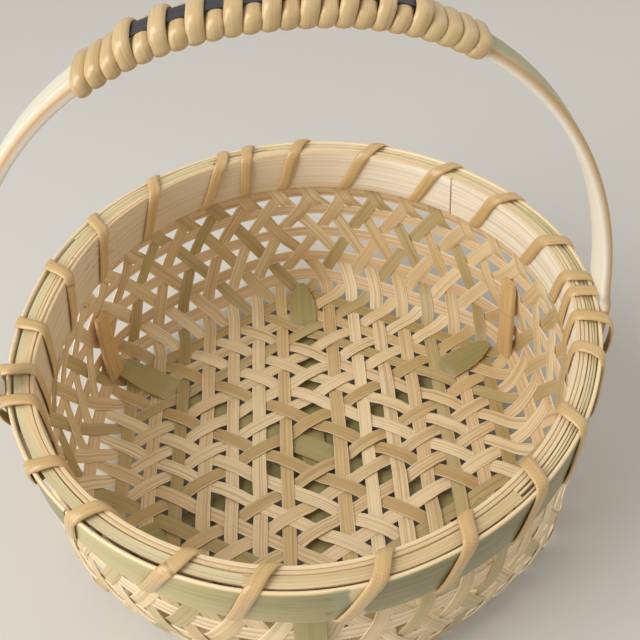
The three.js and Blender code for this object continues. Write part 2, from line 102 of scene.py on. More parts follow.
def smoothTable(values):
    slope = [b - a for a, b in zip(values, values[1:])]
    tangent = [slope[0]]
    for before, after in zip(slope, slope[1:]):
        product = before * after
        tangent.append(2 * product / (before + after) if product > 0 else 0)
    tangent.append(slope[-1])

    def at(level):
        i = min(max(int(math.floor(level - baseLevels)), 0), len(slope) - 1)
        t = level - baseLevels - i
        rest = 1 - t
        start = rest * rest * ((1 + 2 * t) * values[i] + t * tangent[i])
        return start + t * t * ((1 + 2 * rest) * values[i + 1] - rest * tangent[i + 1])

    return at


flareAt = smoothTable(weave["flare"])
riseAt = smoothTable(weave["rise"])
roundAt = smoothTable(weave["roundness"])


# a point of the middle layer by weave level and ring step
def ringPoint(level, step):
    onBase = level <= baseLevels
    base = baseLevels * weave["pitch"] * hexToRound
    radius = level * weave["pitch"] * hexToRound if onBase else base + flareAt(level)
    facing = math.floor(step / baseLevels + 0.5)
    across = 2 * (step - baseLevels * facing) / baseLevels
    apothem = radius / hexToRound
    point = onSide(facing, apothem, apothem * across * tan30)
    if not onBase:
        point = point.lerp(polar(radius, (facing + across / 2) * sideAngle), roundAt(level))
        point.z = riseAt(level)
    return point


def wallPoint(level, step):
    ease = weave["cornerEase"] * clamped(level - baseLevels)
    shifts = (-1, -0.5, 0, 0.5, 1)
    total = Vector((0, 0, 0))
    for shift in shifts:
        total += ringPoint(level, step + shift * ease)
    return total / len(shifts)


def wallSlopes(level, step):
    outward = (wallPoint(level + 0.25, step) - wallPoint(level - 0.25, step)) * 2
    around = wallPoint(level, step + 0.5) - wallPoint(level, step - 0.5)
    return outward, around, outward.cross(around).normalized()


# strips run straight up the wall, so their lean grows with the length of the way
def leanTable():
    parts = 20
    total = 0.0
    rows = {baseLevels: 0.0}
    for i in range(1, 6 * parts + 1):
        a = baseLevels + (i - 1) / parts
        b = baseLevels + i / parts
        total += math.hypot(flareAt(b) - flareAt(a), riseAt(b) - riseAt(a))
        if i % parts == 0:
            rows[baseLevels + i // parts] = total
    return {level: weave["topLean"] * way / rows[weave["topLevel"]] for level, way in rows.items()}


wallLean = leanTable()


# low on the wall the strips of a side keep together, and the spare room is at the corners
def gathered(level, step):
    keep = weave["gather"][level - baseLevels]
    facing = math.floor(step / baseLevels + 0.5)
    away = step - baseLevels * facing
    half = baseLevels / 2
    spare = (1 - keep) * math.copysign(half * (abs(away) / half) ** weave["gatherPower"], away)
    return baseLevels * facing + keep * away + spare


# slow wandering of a hand-made strip, between -1 and 1
def wanderer(dice, period):
    turn = 6.28
    waves = [(dice.uniform(0.6, 1.6) / period, dice.uniform(0, turn)) for _ in range(3)]
    return lambda x: sum(math.sin(turn * x * k + phase) for k, phase in waves) / len(waves)


# a rim bent by hand is not quite round: angle in degrees, bulge in millimetres, reach in degrees
bulges = [(14, 3.0, 25), (172, -1.8, 18), (268, 1.5, 26)]
innerBulge = (160, -3.0, 28)  # the inner side of the rim stands further in here
bulgeRun = {"start": 20, "rise": 55, "leave": 98, "fade": 20}  # heights; the handle leaves it again
innerRun = {"radius": 118, "depth": 6, "start": 60, "rise": 12}


def bulgeAt(angle, middle, size, reach):
    away = (math.degrees(angle) - middle + 180) % 360 - 180
    return size * math.exp(-((away / reach) ** 2))


def shaped(point):
    share = eased((point.z - bulgeRun["start"]) / bulgeRun["rise"])
    share *= 1 - eased((point.z - bulgeRun["leave"]) / bulgeRun["fade"])
    if share == 0:
        return point
    angle = math.atan2(point.y, point.x)
    inner = clamped((innerRun["radius"] - math.hypot(point.x, point.y)) / innerRun["depth"])
    inner *= clamped((point.z - innerRun["start"]) / innerRun["rise"])
    bulge = sum(bulgeAt(angle, *row) for row in bulges)
    bulge += eased(inner) * bulgeAt(angle, *innerBulge)
    return point + polar(bulge * share, angle)


# one place on a path: middle, way through the thickness, way along, half width, half thickness
def station(point, facing, along, wide, thick):
    return {"point": point, "facing": facing, "along": along, "wide": wide, "thick": thick}


shortRun = 4  # millimetres; a shorter run has fewer steps


# smooth run through stations, each passed in its own direction
def smoothPath(stations, steps):
    out = []
    for a, b in zip(stations, stations[1:]):
        reach = (b["point"] - a["point"]).length
        m0 = a["along"].normalized() * reach
        m1 = b["along"].normalized() * reach
        count = max(1, round(steps * min(1, reach / shortRun)))
        for i in range(count):
            t = i / count
            s = t * t * (3 - 2 * t)
            point = a["point"] * (1 - s) + b["point"] * s + m0 * (t * (1 - t) ** 2) - m1 * (t * t * (1 - t))
            facing = a["facing"].lerp(b["facing"], t)
            wide = a["wide"] + (b["wide"] - a["wide"]) * s
            thick = a["thick"] + (b["thick"] - a["thick"]) * s
            out.append(station(point, facing, None, wide, thick))
    last = stations[-1]
    out.append(station(last["point"].copy(), last["facing"].copy(), None, last["wide"], last["thick"]))
    return out


# square up every station to its path and measure the way along
def squareUp(path, closed=False):
    run = 0.0
    count = len(path)
    for i, here in enumerate(path):
        before = path[i - 1] if closed or i > 0 else here
        after = path[(i + 1) % count] if closed or i < count - 1 else here
        tangent = (after["point"] - before["point"]).normalized()
        across = here["facing"].cross(tangent).normalized()
        here["across"] = across
        here["facing"] = tangent.cross(across).normalized()
        if i > 0:
            run += (here["point"] - path[i - 1]["point"]).length
        here["run"] = run
        turn = (after["point"] - here["point"]).angle(here["point"] - before["point"], 0)
        here["bend"] = min(1, 12 * turn / max((after["point"] - before["point"]).length, 0.1))
    return path


# makers of nodes for one tree: any node with its inputs linked or set, and one that calculates
def nodeMakers(tree):
    def add(kind, inputs=None, **settings):
        node = tree.nodes.new(kind)
        for key, value in settings.items():
            setattr(node, key, value)
        for key, value in (inputs or {}).items():
            if isinstance(value, bpy.types.NodeSocket):
                tree.links.new(value, node.inputs[key])
            else:
                node.inputs[key].default_value = value
        return node.outputs

    def maths(operation, a, b=0.0):
        return add("ShaderNodeMath", {0: a, 1: b}, operation=operation)[0]

    return add, maths


# section of a band: corner roundness, points in a corner, corner size across and through,
# depth of the underside
sectionInputs = {
    "Corner": "Float",
    "Corner Points": "Int",
    "Edge Across": "Float",
    "Edge Through": "Float",
    "Underside": "Float",
}
sections = {
    "strip": (0.3, 1, 0.03, 0.3, 1.0),
    "band": (0.5, 2, 0.06, 0.4, 1.0),
    "cane": (0.98, 5, 0.85, 0.98, 0.45),
    "roundedBand": (0.9, 4, 0.1, 0.9, 1.0),
    "slat": (0.6, 2, 0.12, 0.6, 1.0),
    "gripCane": (0.98, 6, 0.95, 0.98, 0.3),
    "strap": (0.6, 3, 0.22, 0.6, 1.0),
    "stick": (0.6, 3, 0.16, 0.45, 1.0),
    "leaf": (0.4, 2, 0.08, 0.6, 1.0),
}


# Geometry Nodes: a band of rounded section along paths, turned as each place of the path says
def makeBandTree():
    tree = bpy.data.node_groups.new("bentBand", "GeometryNodeTree")
    inputs = {"Geometry": "Geometry", **sectionInputs, "Material": "Material"}
    for name, kind in inputs.items():
        tree.interface.new_socket(name, in_out="INPUT", socket_type=f"NodeSocket{kind}")
    tree.interface.new_socket("Geometry", in_out="OUTPUT", socket_type="NodeSocketGeometry")
    groupIn = tree.nodes.new("NodeGroupInput").outputs
    groupOut = tree.nodes.new("NodeGroupOutput").inputs
    add, maths = nodeMakers(tree)

    def named(name, kind="FLOAT"):
        return add("GeometryNodeInputNamedAttribute", {"Name": name}, data_type=kind)["Attribute"]

    def store(geometry, name, value, kind="FLOAT"):
        inputs = {"Geometry": geometry, "Name": name, "Value": value}
        return add("GeometryNodeStoreNamedAttribute", inputs, data_type=kind, domain="POINT")["Geometry"]

    def vectors(operation, a, b, key=1):
        return add("ShaderNodeVectorMath", {0: a, key: b}, operation=operation)[0]

    curve = add("GeometryNodeMeshToCurve", {"Mesh": groupIn["Geometry"]})["Curve"]
    axis = store(curve, "axis", add("GeometryNodeInputPosition")[0], "FLOAT_VECTOR")

    square = add("GeometryNodeCurvePrimitiveQuadrilateral", {"Width": 2, "Height": 2})[0]
    corner = {"Curve": square, "Radius": groupIn["Corner"], "Count": groupIn["Corner Points"]}
    fillet = add("GeometryNodeFilletCurve", corner, mode="POLY")["Curve"]
    split = add("ShaderNodeSeparateXYZ", {0: add("GeometryNodeInputPosition")[0]})
    flatRun = maths("SUBTRACT", 1, groupIn["Corner"])

    # the corner's size across and through the band is set apart from its roundness
    def cornered(value, edge):
        inputs = {
            "Value": maths("ABSOLUTE", value),
            "From Min": flatRun,
            "From Max": 1,
            "To Min": maths("SUBTRACT", 1, edge),
            "To Max": 1,
        }
        share = add("ShaderNodeMapRange", inputs, clamp=False)["Result"]
        return maths("MULTIPLY", share, maths("SIGN", value))

    acrossShare = cornered(split["X"], groupIn["Edge Across"])
    throughShare = cornered(split["Y"], groupIn["Edge Through"])
    below = maths("LESS_THAN", throughShare, 0)
    shrink = maths("SUBTRACT", 1, maths("MULTIPLY", below, maths("SUBTRACT", 1, groupIn["Underside"])))
    profile = store(fillet, "acrossShare", acrossShare)
    profile = store(profile, "throughShare", maths("MULTIPLY", throughShare, shrink))
    sweep = {"Curve": axis, "Profile Curve": profile, "Fill Caps": True}
    band = add("GeometryNodeCurveToMesh", sweep)["Mesh"]

    acrossRun = maths("MULTIPLY", named("acrossShare"), named("wide"))
    throughRun = maths("MULTIPLY", named("throughShare"), named("thick"))
    sideways = vectors("SCALE", named("across", "FLOAT_VECTOR"), acrossRun, "Scale")
    outwards = vectors("SCALE", named("facing", "FLOAT_VECTOR"), throughRun, "Scale")
    place = vectors("ADD", named("axis", "FLOAT_VECTOR"), vectors("ADD", sideways, outwards))
    band = add("GeometryNodeSetPosition", {"Geometry": band, "Position": place})["Geometry"]

    seed = named("seed")
    grain = {"X": maths("ADD", named("run"), seed), "Y": maths("ADD", acrossRun, seed), "Z": throughRun}
    band = store(band, "grain", add("ShaderNodeCombineXYZ", grain)[0], "FLOAT_VECTOR")
    band = add("GeometryNodeSetShadeSmooth", {"Geometry": band})["Geometry"]
    band = add("GeometryNodeRealizeInstances", {"Geometry": band})["Geometry"]
    band = add("GeometryNodeSetMaterial", {"Geometry": band, "Material": groupIn["Material"]})["Geometry"]
    tree.links.new(band, groupOut["Geometry"])
    return tree


bandTree = makeBandTree()
socketOf = {}
for item in bandTree.interface.items_tree:
    if item.in_out == "INPUT":
        socketOf[item.name] = item.identifier
seedStep = 3.7  # moves the grain of pieces with different tones apart


def pathMesh(name, paths, tones, closed):
    mesh = bpy.data.meshes.new(name)
    points = []
    edges = []
    rows = []
    for path, tone in zip(paths, tones):
        first = len(points)
        for here in path:
            points.append((shaped(here["point"]) + basePlace) * mm)
            rows.append((here, tone))
        count = len(path)
        edges += [(first + i, first + i + 1) for i in range(count - 1)]
        if closed:
            edges.append((first + count - 1, first))
    mesh.from_pydata(points, edges, [])

    def keep(key, kind, field, values):
        mesh.attributes.new(key, kind, "POINT").data.foreach_set(field, values)

    for key in ("facing", "across"):
        keep(key, "FLOAT_VECTOR", "vector", [part for here, _ in rows for part in here[key]])
    for key in ("wide", "thick", "run"):
        keep(key, "FLOAT", "value", [here[key] * mm for here, _ in rows])
    keep("bend", "FLOAT", "value", [here["bend"] for here, _ in rows])
    keep("tone", "FLOAT", "value", [tone for _, tone in rows])
    keep("seed", "FLOAT", "value", [seedStep * tone for _, tone in rows])
    return mesh


def signedVolume(mesh):
    mesh.calc_loop_triangles()
    total = 0.0
    for triangle in mesh.loop_triangles:
        a, b, c = (mesh.vertices[i].co for i in triangle.vertices)
        total += a.dot(b.cross(c))
    return total / 6


def bandPiece(name, paths, section, finish, tones, closed=False, sharp=35):
    piece = bpy.data.objects.new(name, pathMesh(name, paths, tones, closed))
    scene.collection.objects.link(piece)
    modifier = piece.modifiers.new("band", "NODES")
    modifier.node_group = bandTree
    for key, value in zip(sectionInputs, sections[section]):
        modifier[socketOf[key]] = value
    modifier[socketOf["Material"]] = finish
    depsgraph = bpy.context.evaluated_depsgraph_get()
    made = bpy.data.meshes.new_from_object(piece.evaluated_get(depsgraph))
    piece.modifiers.remove(modifier)
    piece.data = made
    made.name = name
    if signedVolume(made) < 0:
        made.flip_normals()
    made.set_sharp_from_angle(angle=math.radians(sharp))
    for key in ("axis", "across", "facing", "wide", "thick", "seed"):
        found = made.attributes.get(key)
        if found:
            made.attributes.remove(found)
    return piece


def standFor(piece, node):
    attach(piece, "root")
    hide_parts(node)


# materials: split bamboo and cane, whose fibres follow the length of each piece
def bambooFinish(name, base, **own):
    look = {**base, **own}
    material = bpy.data.materials.new(name)
    material.use_nodes = True
    tree = material.node_tree
    shader = tree.nodes["Principled BSDF"].inputs
    add, maths = nodeMakers(tree)

    def attribute(key, field="Fac"):
        return add("ShaderNodeAttribute", attribute_name=key)[field]

    def times(first, *others):
        for value in others:
            first = maths("MULTIPLY", first, value)
        return first

    def away(value, middle):
        return maths("ABSOLUTE", maths("SUBTRACT", value, middle))

    def noise(scale, detail):
        vector = add("ShaderNodeMapping", {"Vector": grain, "Scale": scale})[0]
        inputs = {"Vector": vector, "Scale": 1, "Detail": detail, "Roughness": 0.6}
        return add("ShaderNodeTexNoise", inputs)["Fac"]

    def ranged(value, low, high, start=0.0, end=1.0):
        inputs = {"Value": value, "From Min": low, "From Max": high, "To Min": start, "To Max": end}
        return add("ShaderNodeMapRange", inputs, interpolation_type="SMOOTHSTEP")["Result"]

    def mixed(factor, a, b):  # the colour sockets of the node are 6, 7 and 2
        a, b = ((*value, 1) if isinstance(value, tuple) else value for value in (a, b))
        return add("ShaderNodeMix", {0: factor, 6: a, 7: b}, data_type="RGBA")[2]

    grain = attribute("grain", "Vector")
    tone = attribute("tone")
    acrossShare = attribute("acrossShare")
    through = attribute("throughShare")
    run = attribute("run")
    fibres = look["fibres"]
    blotch = noise((14, 90, 200), 2)
    fibre = noise((13, fibres, fibres), 3)
    fine = noise((45, 3.2 * fibres, 3.2 * fibres), 2)

    body = maths("ADD", times(fibre, 0.55), times(fine, 0.45))
    body = maths("ADD", body, times(maths("SUBTRACT", blotch, 0.5), 0.5))
    body = maths("ADD", body, times(maths("SUBTRACT", tone, 0.5), look["toneShift"]))
    colour = mixed(ranged(body, 0.25, 0.7), look["dark"], look["light"])
    if "wallTone" in look:  # strips are paler up the wall
        place = add("ShaderNodeSeparateXYZ", {0: add("ShaderNodeTexCoord")["Object"]})
        onWall = ranged(place["Z"], 0.012, 0.05, 0, look["wallShare"])
        colour = mixed(onWall, colour, look["wallTone"])
    if "skin" in look:  # the outer face is the skin of the bamboo
        onSkin = ranged(through, look["skinFrom"], look["skinFrom"] + 0.3)
        patch = times(maths("SUBTRACT", ranged(noise((7, 60, 60), 3), 0.35, 0.65), 0.5), 0.3)
        # the skin colour fades along the run; on the outer band this fade is partly painted highlight and
        # painted shade
        patch = maths("ADD", ranged(run, *look["skinFade"]), patch)
        skin = mixed(patch, look["skin"], look["skinPale"])
        skin = mixed(ranged(fine, 0.4, 0.8, 0, 0.3), skin, look["light"])
        colour = mixed(onSkin, colour, skin)
    wideLines = ranged(noise((5, 1.1 * fibres, 1.1 * fibres), 1), 0.57, 0.63, 0, look["lines"])
    colour = mixed(wideLines, colour, look["line"])
    hairLines = ranged(noise((4, 2.2 * fibres, 2.2 * fibres), 1), 0.55, 0.6, 0, 0.8 * look["lines"])
    colour = mixed(hairLines, colour, look["line"])
    edge = ranged(maths("ABSOLUTE", acrossShare), look["edgeFrom"], 0.99, 0, look["edgeShare"])
    if "edgeSkinOnly" in look:
        edge = times(edge, ranged(through, -0.7, 0.5))
    colour = mixed(edge, colour, look["edge"])
    for place in look.get("rings", ()):  # joints of the cane, in metres from its start
        colour = mixed(ranged(away(run, place), 0.0003, 0.0008, look["ringShare"], 0), colour, look["line"])
    if "joint" in look:  # a joint of the bamboo: a pale line between a green stain and a brown spot
        swirl = times(maths("SUBTRACT", noise((160, 160, 160), 3), 0.5), 0.006)
        past = maths("ADD", maths("SUBTRACT", run, look["joint"]), swirl)
        stain = ranged(away(past, -0.0052), 0.001, 0.0046, 0.6, 0)
        colour = mixed(times(stain, onSkin), colour, look["stain"])
        pale = ranged(away(past, 0), 0.0012, 0.0034, 0.75, 0)
        colour = mixed(times(pale, onSkin), colour, look["edge"])
        low = ranged(away(acrossShare, -0.45), 0.02, 0.14, 1, 0)
        spot = ranged(away(past, -0.0098), 0.0007, 0.0021, 0.85, 0)
        colour = mixed(times(spot, low, onSkin), colour, look["spot"])
    if "tanRun" in look:  # a stretch of the band is darker tan: partly the bamboo's own tone, partly painted shade of the shaded left side
        middle, reach = look["tanRun"]
        near = ranged(away(run, middle), 0.5 * reach, reach, 0.55, 0)
        colour = mixed(near, colour, look["tanTone"])
    if "speckle" in look:
        middle, reach = look["speckle"]
        near = ranged(away(run, middle), 0.4 * reach, reach, 1, 0)
        dash = ranged(noise((420, 1700, 1700), 2), 0.55, 0.66, 0, 0.46)
        colour = mixed(times(near, dash), colour, look["line"])
    height = maths("ADD", times(fibre, 0.6), times(fine, 0.4))
    height = maths("SUBTRACT", height, times(wideLines, 0.5))
    if "wrinkle" in look:  # cross wrinkles where the cane bends
        bent = ranged(attribute("bend"), 0.25, 0.9)
        wave = maths("SINE", maths("ADD", times(run, 5700), times(blotch, 9)))
        wave = times(wave, bent, look["wrinkle"])
        height = maths("ADD", height, wave)
        # the troughs of the wrinkles are also painted darker: painted shade in the creases
        colour = mixed(ranged(wave, -0.05 - look["wrinkle"], 0, 0.2, 0), colour, look["line"])
    rough = look["roughness"]
    roughness = ranged(fine, 0.3, 0.7, rough - 0.08, rough + 0.08)
    bump = add("ShaderNodeBump", {"Strength": look["bump"], "Distance": 0.0003, "Height": height})[0]
    for key, value in (("Base Color", colour), ("Roughness", roughness), ("Normal", bump)):
        tree.links.new(value, shader[key])
    shader["Coat Weight"].default_value = look.get("coat", 0)
    shader["Coat Roughness"].default_value = 0.22
    return material


straw = {
    "light": (0.91, 0.74, 0.47),
    "dark": (0.77, 0.58, 0.32),
    "line": (0.34, 0.19, 0.08),
    "edge": (0.95, 0.83, 0.60),
    "edgeShare": 0.75,
    "edgeFrom": 0.87,
    "fibres": 900,
    "lines": 0.36,
    "toneShift": 0.4,
    "roughness": 0.5,
    "bump": 0.3,
}
cream = {**straw, "light": (0.96, 0.88, 0.71), "dark": (0.86, 0.72, 0.51), "lines": 0.25}
skinGreen = {**straw, "edge": (0.72, 0.58, 0.33), "edgeShare": 0.5, "roughness": 0.42}
finishes = {
    "pale": bambooFinish("paleStrip", straw),
    "straw": bambooFinish("strawStrip", straw, light=(0.88, 0.70, 0.44), dark=(0.73, 0.54, 0.29)),
    "tan": bambooFinish(
        "tanStrip",
        straw,
        light=(0.71, 0.52, 0.26),
        dark=(0.56, 0.39, 0.17),
        wallTone=(0.86, 0.66, 0.41),
        wallShare=0.65,
    ),
    "honey": bambooFinish("honeyStrip", straw, light=(0.80, 0.61, 0.35), dark=(0.64, 0.46, 0.23)),
    "olive": bambooFinish(
        "oliveStrip",
        skinGreen,
        light=(0.57, 0.45, 0.22),
        dark=(0.43, 0.33, 0.14),
        wallTone=(0.64, 0.53, 0.29),
        wallShare=0.4,
    ),
    "brown": bambooFinish(
        "brownStrip",
        skinGreen,
        light=(0.55, 0.42, 0.19),
        dark=(0.42, 0.30, 0.12),
        wallTone=(0.63, 0.52, 0.27),
        wallShare=0.65,
    ),
    "hoop": bambooFinish("hoopStrip", straw, light=(0.88, 0.68, 0.44), dark=(0.75, 0.53, 0.30)),
    "leaf": bambooFinish(
        "oliveLeaf",
        skinGreen,
        light=(0.43, 0.37, 0.16),
        dark=(0.32, 0.275, 0.105),
        edge=(0.55, 0.34, 0.13),
        lines=0.12,
    ),
    "innerBand": bambooFinish(
        "innerBandBamboo",
        cream,
        light=(0.98, 0.91, 0.77),
        dark=(0.89, 0.77, 0.58),
        edge=(0.76, 0.57, 0.32),
        edgeShare=0.85,
        edgeFrom=0.9,
        # darker tan over the left and back of the band: partly the band's own tone, partly painted shade
        # where the inside of the left wall lies in shade
        tanRun=(0.2, 0.19),
        tanTone=(0.61, 0.42, 0.205),
        speckle=(0.2, 0.022),
    ),
    "outerBand": bambooFinish(
        "outerBandBamboo",
        cream,
        # the skin fades from skinPale at the front left to the dark skin from the front right on: partly
        # the olive skin's own colour, partly a painted highlight on the front left and painted shade on the
        # front right, kept dark round the rest of the band
        skin=(0.185, 0.16, 0.037),
        skinPale=(0.56, 0.47, 0.18),
        skinFade=(0.16, 0.0),
        skinFrom=0.35,
        edge=(0.86, 0.66, 0.38),
        edgeShare=0.85,
        edgeFrom=0.86,
        lines=0.12,
        roughness=0.36,
        coat=0.15,
        joint=0.112,
        stain=(0.33, 0.36, 0.21),
        spot=(0.28, 0.13, 0.04),
    ),
    "filler": bambooFinish(
        "fillerSlat", cream, light=(0.80, 0.65, 0.39), dark=(0.62, 0.46, 0.24), edge=(0.80, 0.64, 0.39)
    ),
    "orangeSlat": bambooFinish(
        "orangeSlat", straw, light=(0.76, 0.55, 0.30), dark=(0.60, 0.41, 0.20), edge=(0.72, 0.52, 0.28)
    ),
    "greenFiller": bambooFinish(
        "greenFillerSlat", skinGreen, light=(0.66, 0.57, 0.33), dark=(0.52, 0.44, 0.23), lines=0.3
    ),
    "post": bambooFinish(
        "postBamboo",
        straw,
        light=(0.80, 0.55, 0.27),
        dark=(0.62, 0.39, 0.16),
        edgeShare=0.2,
        rings=(0.027,),
        ringShare=0.2,
    ),
    "strap": bambooFinish(
        "strapBamboo",
        cream,
        light=(0.97, 0.93, 0.82),
        dark=(0.92, 0.85, 0.69),
        skin=(0.38, 0.37, 0.19),
        skinPale=(0.76, 0.72, 0.57),
        skinFade=(0.17, 0.31),
        skinFrom=0.3,
        edge=(0.66, 0.40, 0.18),
        edgeShare=0.85,
        edgeFrom=0.72,
        edgeSkinOnly=True,
        lines=0.12,
        roughness=0.42,
    ),
    "cane": bambooFinish(
        "goldenCane",
        straw,
        light=(0.67, 0.46, 0.21),
        dark=(0.55, 0.35, 0.14),
        fibres=650,
        lines=0.14,
        edgeShare=0.0,
        roughness=0.33,
        bump=0.12,
        coat=0.3,
        wrinkle=0.15,
        rings=(0.3, 0.78, 1.21, 1.7),
        ringShare=0.75,
    ),
    "gripCane": bambooFinish(
        "gripCane",
        straw,
        light=(0.68, 0.495, 0.25),
        dark=(0.55, 0.365, 0.16),
        fibres=420,
        lines=0.1,
        edgeShare=0.0,
        roughness=0.32,
        bump=0.08,
        coat=0.4,
    ),
    "dark": bambooFinish(
        "darkStrip",
        straw,
        light=(0.050, 0.047, 0.058),
        dark=(0.022, 0.021, 0.027),
        line=(0.01, 0.01, 0.01),
        edge=(0.06, 0.055, 0.06),
        roughness=0.35,
    ),
}
print("finishes ready", len(finishes))


def uprightNormal(normal):
    return Vector((normal.x, normal.y, 0)).normalized()


# weave strips: straight in the middle layer along one side, then over and under to both ends in the rim
def crossing(facing, index, hand, level):
    onBase = level <= baseLevels
    onTop = (hand > 0) == (level % 2 == 0)
    layer = weave["layer"] if level < baseLevels else weave["wallLayer"]
    node = {"height": layer if onTop else -layer, "onBase": onBase}
    if onBase:
        along = hand * (2 * level - index) * weave["pitch"] / math.sqrt(3)
        point = onSide(facing, index * weave["pitch"], along)
        return {**node, "point": point, "normal": up.copy(), "flat": halfStrip / tan30}
    lean = (baseLevels - 2 * index) / 2 + wallLean[level]
    step = gathered(level, baseLevels * (facing + hand) + hand * lean)
    outward, around, normal = wallSlopes(level, step)
    if level >= weave["topLevel"]:
        normal = uprightNormal(normal)
    leanAngle = math.atan2(around.length / 2, outward.length)
    meeting = min(2 * leanAngle, math.pi / 2 - leanAngle, math.pi / 3)
    flat = halfStrip / math.tan(meeting / 2)
    return {**node, "point": wallPoint(level, step), "normal": normal, "flat": flat}


def stripPath(facing, index, dice):
    top = weave["topLevel"]
    right = [crossing(facing, index, -1, level) for level in range(index, top + 1)][::-1]
    left = [crossing(facing, index, 1, level) for level in range(index, top + 1)]
    row = right + left
    rightFrom, slackRight = weave["slackRight"]
    for node in row:
        if node["onBase"] and node["height"] > 0 and node["point"].length < weave["slackReach"]:
            side = slackRight if node["point"].x > rightFrom else weave["slackLeft"]
            node["height"] += weave["slack"] * dice.random() ** 2 * side
    after = crossing(facing, index, 1, top + 1)["point"]
    before = crossing(facing, index, -1, top + 1)["point"]
    straight = (left[0]["point"] - right[-1]["point"]).normalized()
    thick = weave["thickness"] / 2
    stations = []

    def place(node, direction, run):
        middle = node["point"] + node["normal"] * node["height"] + direction * run
        wide = halfStrip * (1 if node["normal"].z > 0.9 else weave["wallWider"])
        stations.append(station(middle, node["normal"].copy(), direction, wide, thick))

    def placeEnd(node, direction, run):
        end = node["point"] + direction * run
        angle = math.atan2(end.y, end.x)
        middle = polar(weave["wallRadius"] - node["height"], angle, weave["tailTop"])
        stations.append(station(middle, polar(-1, angle), direction, halfStrip, thick))

    for i, node in enumerate(row):
        isFirst = i == 0
        isLast = i == len(row) - 1
        start = before if isFirst else node["point"] if isLast else row[i - 1]["point"]
        end = node["point"] if isFirst else after if isLast else row[i + 1]["point"]
        bent = end - start
        bent = (bent - node["normal"] * bent.dot(node["normal"])).normalized()
        direction = straight if node["onBase"] else bent
        tail = (weave["tailTop"] - weave["rise"][5]) / abs(direction.z) if not node["onBase"] else 0
        flat = weave["flatShare" if node["onBase"] else "wallFlatShare"] * node["flat"]
        if isFirst:
            placeEnd(node, direction, -tail)
        place(node, direction, -flat)
        place(node, direction, flat)
        if isLast:
            placeEnd(node, direction, tail)
        if i == len(right) - 1 and index > 1:
            span = (index - 2) * weave["pitch"] / math.sqrt(3) + node["flat"] + weave["straightRun"]
            point = onSide(facing, index * weave["pitch"], 0)
            middleNode = {"point": point, "normal": up.copy(), "height": 0}
            place(middleNode, straight, -span)
            place(middleNode, straight, span)
    path = squareUp(smoothPath(stations, 6))
    sway = wanderer(dice, 60)
    swell = wanderer(dice, 45)
    girth = dice.uniform(*weave["girth"])
    for here in path:
        here["point"] += here["across"] * (weave["wander"] * sway(here["run"]))
        here["wide"] *= girth * (1 + weave["swell"] * swell(here["run"]))
    return squareUp(path)


facings = ["right", "back_right", "back_left", "left", "front_left", "front_right"]
stripFinish = {1: "tan", 2: "pale", 3: "pale", 4: "straw", 5: "olive", 6: "honey", 7: "brown"}
dice = random.Random(weave["seed"])
for facing, word in enumerate(facings):
    for index in range(1, baseLevels + 1):
        path = stripPath(facing, index, dice)
        finish = finishes[stripFinish[index]]
        piece = bandPiece(f"weave_{word}_{index}", [path], "strip", finish, [dice.random()])
        standFor(piece, f"strip_{word}_{index}")
print("strips woven")

# wall hoops
hoop = {"count": 5, "stepsPerCrossing": 4, "wave": 0.25, "topRaise": 2.2, "seed": 5}
dice = random.Random(hoop["seed"])
for order in range(hoop["count"]):
    level = baseLevels + 1 + order
    path = []
    sway = [dice.uniform(-1, 1) for _ in range(6)]
    for i in range(ringSteps * hoop["stepsPerCrossing"]):
        step = i / hoop["stepsPerCrossing"]
        turn = step * stepAngle
        drift = sum(size * math.sin((k + 1) * turn + 6 * size) for k, size in enumerate(sway))
        _, around, normal = wallSlopes(level, step)
        middle = wallPoint(level, step) + up * (hoop["wave"] * drift)
        if level == weave["topLevel"]:
            normal = uprightNormal(normal)
            middle += up * hoop["topRaise"]
        path.append(station(middle, normal, around, weave["wallWider"] * halfStrip, weave["thickness"] / 2))
    paths = [squareUp(path, True)]
    piece = bandPiece(f"hoop_{order + 1}", paths, "strip", finishes["hoop"], [dice.random()], True)
    standFor(piece, f"wall_hoop_{order + 1}")
print("hoops in place")

# rim: two bands of several layers, with slats between them over the strip ends
rim = {
    "bottom": 75.7,
    "top": 97.7,
    "innerFace": 111.98,
    "outerFace": 122.48,
    "innerLayers": [(1.7, 75.7, 97.7), (1.4, 88.0, 97.5)],
    "layerGap": 0.1,
    "outerThickness": 1.7,
    "scarfGap": 0.8,
    "scarfSkew": 0.4,
    "innerScarf": 0.815,
    "outerScarf": 3.9,
    "layerTurn": 1.9,
    "outerSkew": 3.0,
    "spacing": 4,
    "slatSway": 0.12,
    "slatLift": 0.25,
    "seed": 8,
}
# slats: filler they belong to, middle radius, from and to in degrees, top, across the rim, down, finish
slats = [
    ("outer", 117.55, 110, 259, 97.0, 4.0, 1.5, "greenFiller"),
    ("inner", 115.5, 118, 214, 97.4, 1.5, 4.4, "orangeSlat"),
    ("inner", 117.75, 258.6, 308, 97.15, 4.6, 1.5, "filler"),
    ("inner", 116.1, -52, 106, 97.5, 1.5, 4.4, "filler"),
    ("outer", 117.75, -8, 66, 97.0, 1.1, 4.2, "greenFiller"),
    ("outer", 117.7, -53, -7, 96.8, 1.1, 4.2, "filler"),
    ("outer", 118.85, -46, 58, 96.7, 0.9, 4.2, "greenFiller"),
    ("outer", 119.95, -54, 30, 97.0, 0.9, 4.2, "greenFiller"),
    ("outer", 118.0, 65, 113, 96.8, 1.6, 4.2, "greenFiller"),
    ("outer", 119.6, 96, 150, 97.3, 1.1, 3.6, "filler"),
    ("outer", 119.7, 27, 97, 96.8, 1.3, 3.6, "filler"),
]


